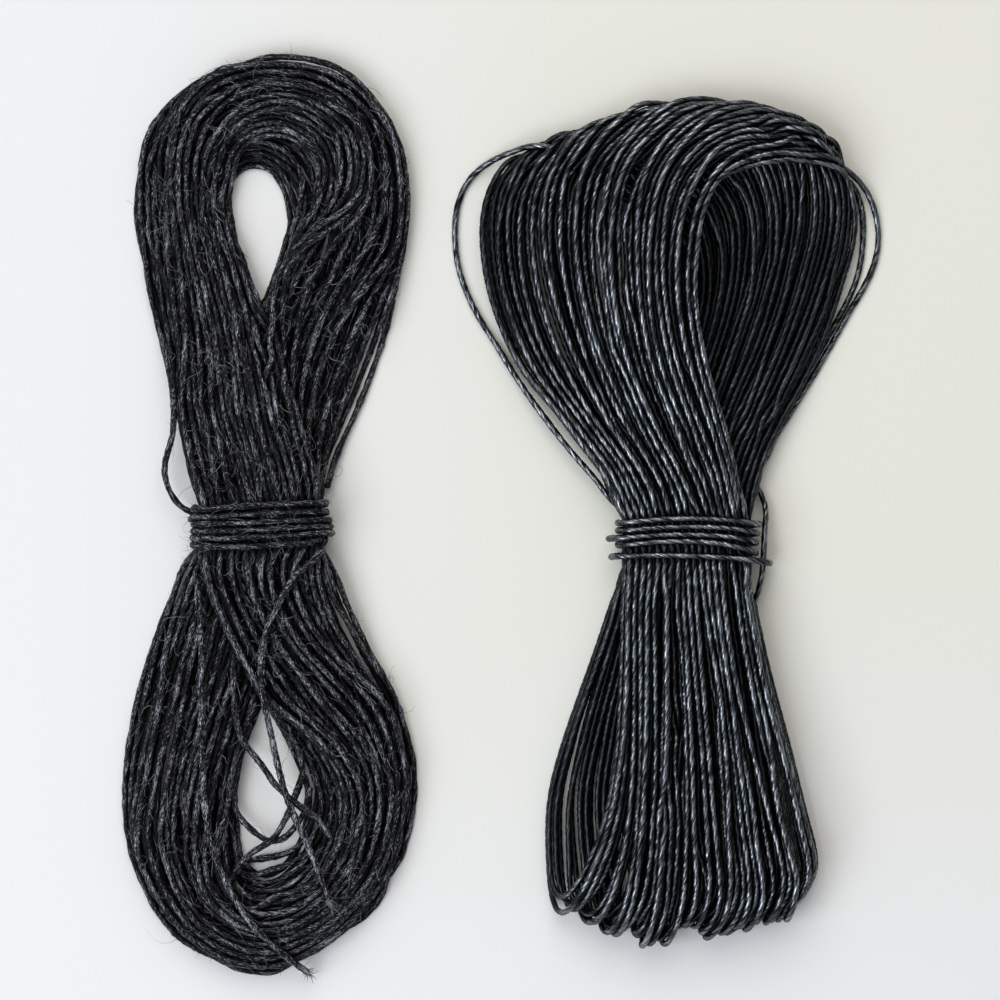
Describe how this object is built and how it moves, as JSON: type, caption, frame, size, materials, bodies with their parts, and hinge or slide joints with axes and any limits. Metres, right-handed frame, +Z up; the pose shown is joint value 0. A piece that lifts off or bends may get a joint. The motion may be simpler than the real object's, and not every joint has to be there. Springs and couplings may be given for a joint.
{
  "type": "waxed thread hank pair",
  "caption": "Two tied hand hanks of black waxed sewing thread lying side by side: one matte and wound as a figure of eight, one glossy and folded over below its waist.",
  "frame": {"origin": "on the bench below the middle of the pair's bounding box", "axes": "+Z up from the bench, +Y along both hanks towards their upper loops, +X from the linen hank to the polyester hank"},
  "size_m": [0.1159, 0.1396, 0.01],
  "materials": {
    "linen_thread": "matte waxed linen with loose fibres",
    "polyester_thread": "glossy waxed three-ply polyester"
  },
  "bodies": {
    "linen_hank": {"linen_inner_loops": "linen_thread", "linen_outer_loops": "linen_thread", "linen_tie": "linen_thread", "linen_tie_tail": "linen_thread", "linen_start_tail": "linen_thread", "linen_crest_strand": "linen_thread", "linen_side_loop": "linen_thread", "linen_eye_strand_upper": "linen_thread", "linen_eye_strand_left": "linen_thread", "linen_eye_strand_right": "linen_thread"},
    "poly_hank": {"poly_inner_loops": "polyester_thread", "poly_outer_loops": "polyester_thread", "poly_tie": "polyester_thread", "poly_tie_lock": "polyester_thread", "poly_stray_loop_left": "polyester_thread", "poly_stray_loop_right": "polyester_thread", "poly_stray_loop_inner": "polyester_thread"}
  },
  "joints": [
    {"name": "poly_hank_lift", "type": "slide", "parent": "linen_hank", "child": "poly_hank", "axis": [0, 0, 1], "range_m": [0, 0.04]}
  ]
}
